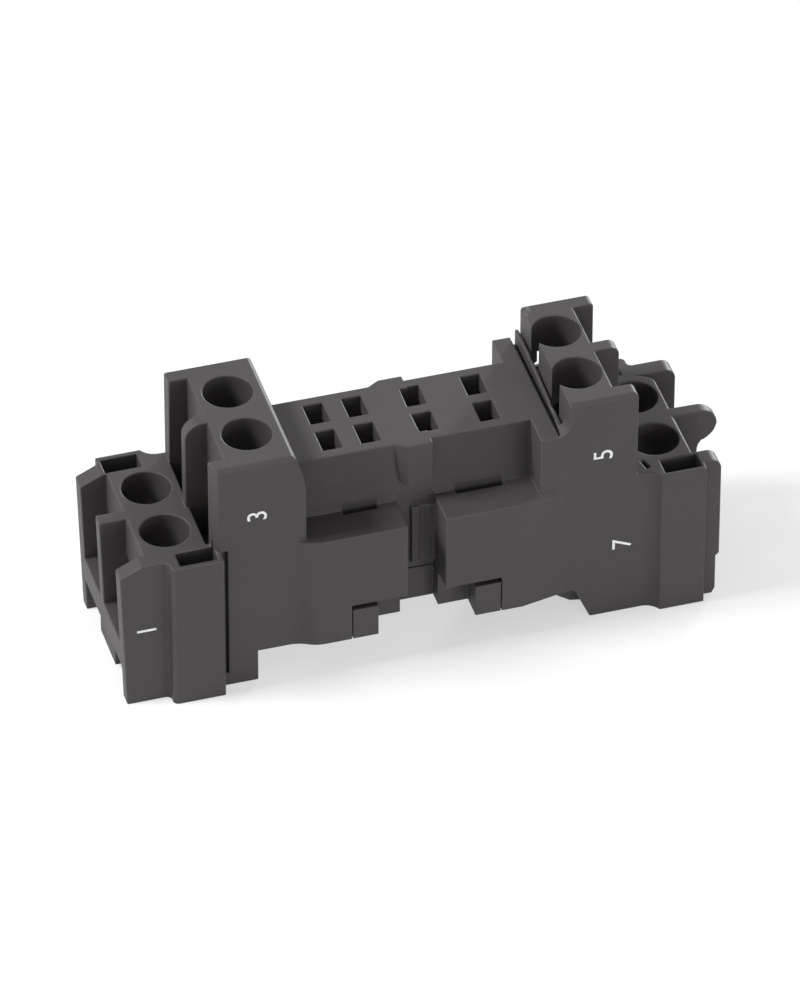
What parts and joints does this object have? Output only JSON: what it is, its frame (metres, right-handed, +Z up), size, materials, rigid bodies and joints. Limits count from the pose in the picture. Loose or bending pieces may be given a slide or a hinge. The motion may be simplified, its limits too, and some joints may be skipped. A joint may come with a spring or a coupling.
{
  "type": "relay socket",
  "caption": "Slim rail-mount relay socket with stepped finger-safe screw terminals at both ends and a seat with blade slots for a plug-in relay.",
  "frame": {"origin": "on the base plane, under the middle of the overall length and width", "axes": "+X along the length towards the end with the rounded nose, +Y across the width, +Z up, away from the rail"},
  "size_m": [0.0702, 0.0214, 0.0301],
  "materials": {
    "housing_plastic": "satin moulded, charcoal black",
    "cover_plastic": "satin moulded, charcoal black",
    "latch_plastic": "satin moulded, charcoal black",
    "contact_metal": "nickel-plated brass strip",
    "clamp_metal": "zinc plated",
    "screw_metal": "zinc plated"
  },
  "bodies": {
    "body": {"housing": "housing_plastic", "base_cover": "cover_plastic", "terminal_strip_1": "contact_metal", "terminal_strip_2": "contact_metal", "terminal_strip_3": "contact_metal", "terminal_strip_4": "contact_metal", "terminal_strip_5": "contact_metal", "terminal_strip_6": "contact_metal", "terminal_strip_7": "contact_metal", "terminal_strip_8": "contact_metal"},
    "clamp_1": {"clamp_plate_1": "clamp_metal"},
    "screw_1": {"terminal_screw_1": "screw_metal"},
    "clamp_2": {"clamp_plate_2": "clamp_metal"},
    "screw_2": {"terminal_screw_2": "screw_metal"},
    "clamp_3": {"clamp_plate_3": "clamp_metal"},
    "screw_3": {"terminal_screw_3": "screw_metal"},
    "clamp_4": {"clamp_plate_4": "clamp_metal"},
    "screw_4": {"terminal_screw_4": "screw_metal"},
    "clamp_5": {"clamp_plate_5": "clamp_metal"},
    "screw_5": {"terminal_screw_5": "screw_metal"},
    "clamp_6": {"clamp_plate_6": "clamp_metal"},
    "screw_6": {"terminal_screw_6": "screw_metal"},
    "clamp_7": {"clamp_plate_7": "clamp_metal"},
    "screw_7": {"terminal_screw_7": "screw_metal"},
    "clamp_8": {"clamp_plate_8": "clamp_metal"},
    "screw_8": {"terminal_screw_8": "screw_metal"},
    "latch": {"rail_latch": "latch_plastic"}
  },
  "joints": [
    {"name": "clamp_lift_1", "type": "slide", "parent": "body", "child": "clamp_1", "axis": [0, 0, 1], "range_m": [0, 0.002]},
    {"name": "screw_turn_1", "type": "hinge", "parent": "clamp_1", "child": "screw_1", "pos_m": [-0.02857, -0.00379, 0.01085], "axis": [0, 0, 1], "range_deg": [0, 1440]},
    {"name": "clamp_lift_2", "type": "slide", "parent": "body", "child": "clamp_2", "axis": [0, 0, 1], "range_m": [0, 0.002]},
    {"name": "screw_turn_2", "type": "hinge", "parent": "clamp_2", "child": "screw_2", "pos_m": [-0.02857, 0.00379, 0.01085], "axis": [0, 0, 1], "range_deg": [0, 1440]},
    {"name": "clamp_lift_3", "type": "slide", "parent": "body", "child": "clamp_3", "axis": [0, 0, 1], "range_m": [0, 0.002]},
    {"name": "screw_turn_3", "type": "hinge", "parent": "clamp_3", "child": "screw_3", "pos_m": [-0.01928, -0.00379, 0.02155], "axis": [0, 0, 1], "range_deg": [0, 1440]},
    {"name": "clamp_lift_4", "type": "slide", "parent": "body", "child": "clamp_4", "axis": [0, 0, 1], "range_m": [0, 0.002]},
    {"name": "screw_turn_4", "type": "hinge", "parent": "clamp_4", "child": "screw_4", "pos_m": [-0.01928, 0.00379, 0.02155], "axis": [0, 0, 1], "range_deg": [0, 1440]},
    {"name": "clamp_lift_5", "type": "slide", "parent": "body", "child": "clamp_5", "axis": [0, 0, 1], "range_m": [0, 0.002]},
    {"name": "screw_turn_5", "type": "hinge", "parent": "clamp_5", "child": "screw_5", "pos_m": [0.01787, -0.00379, 0.02155], "axis": [0, 0, 1], "range_deg": [0, 1440]},
    {"name": "clamp_lift_6", "type": "slide", "parent": "body", "child": "clamp_6", "axis": [0, 0, 1], "range_m": [0, 0.002]},
    {"name": "screw_turn_6", "type": "hinge", "parent": "clamp_6", "child": "screw_6", "pos_m": [0.01787, 0.00379, 0.02155], "axis": [0, 0, 1], "range_deg": [0, 1440]},
    {"name": "clamp_lift_7", "type": "slide", "parent": "body", "child": "clamp_7", "axis": [0, 0, 1], "range_m": [0, 0.002]},
    {"name": "screw_turn_7", "type": "hinge", "parent": "clamp_7", "child": "screw_7", "pos_m": [0.02683, -0.00379, 0.01085], "axis": [0, 0, 1], "range_deg": [0, 1440]},
    {"name": "clamp_lift_8", "type": "slide", "parent": "body", "child": "clamp_8", "axis": [0, 0, 1], "range_m": [0, 0.002]},
    {"name": "screw_turn_8", "type": "hinge", "parent": "clamp_8", "child": "screw_8", "pos_m": [0.02683, 0.00379, 0.01085], "axis": [0, 0, 1], "range_deg": [0, 1440]},
    {"name": "latch_slide", "type": "slide", "parent": "body", "child": "latch", "axis": [-1, 0, 0], "range_m": [0, 0.002], "stiffness_N_per_m": 400, "springref_m": -0.0005}
  ],
  "couplings": [
    {"joint": "screw_turn_1", "follows": "clamp_lift_1", "rad_per_m": 12566},
    {"joint": "screw_turn_2", "follows": "clamp_lift_2", "rad_per_m": 12566},
    {"joint": "screw_turn_3", "follows": "clamp_lift_3", "rad_per_m": 12566},
    {"joint": "screw_turn_4", "follows": "clamp_lift_4", "rad_per_m": 12566},
    {"joint": "screw_turn_5", "follows": "clamp_lift_5", "rad_per_m": 12566},
    {"joint": "screw_turn_6", "follows": "clamp_lift_6", "rad_per_m": 12566},
    {"joint": "screw_turn_7", "follows": "clamp_lift_7", "rad_per_m": 12566},
    {"joint": "screw_turn_8", "follows": "clamp_lift_8", "rad_per_m": 12566}
  ]
}
